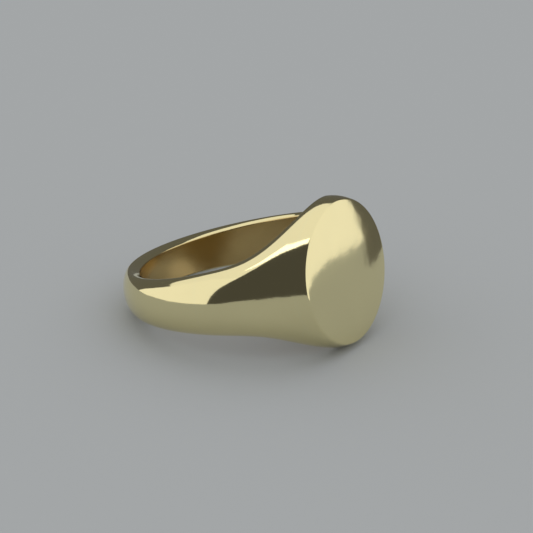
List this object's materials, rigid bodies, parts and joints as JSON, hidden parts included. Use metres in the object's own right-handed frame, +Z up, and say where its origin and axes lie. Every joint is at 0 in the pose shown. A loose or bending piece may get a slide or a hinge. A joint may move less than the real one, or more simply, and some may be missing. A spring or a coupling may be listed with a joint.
{
  "type": "signet ring",
  "caption": "Yellow gold signet ring with a plain round table, flared shoulders and a tapering band, lying on its side.",
  "frame": {"origin": "centre of the finger hole", "axes": "+Z up, with the ring lying on its side as it rests; +X level, from the finger hole towards the table's side; the hole's axis leans back from +Z by the resting tilt of 13.8 degrees, in the XZ plane"},
  "size_m": [0.0224, 0.0218, 0.0128],
  "materials": {
    "gold": "polished",
    "solder": "polished"
  },
  "bodies": {
    "root": {"table_plate": "gold", "table_solder": "solder", "head_block": "gold", "left_shoulder_solder": "solder", "left_shoulder": "gold", "left_shank_solder": "solder", "right_shoulder_solder": "solder", "right_shoulder": "gold", "right_shank_solder": "solder", "lower_shank": "gold"}
  },
  "joints": []
}
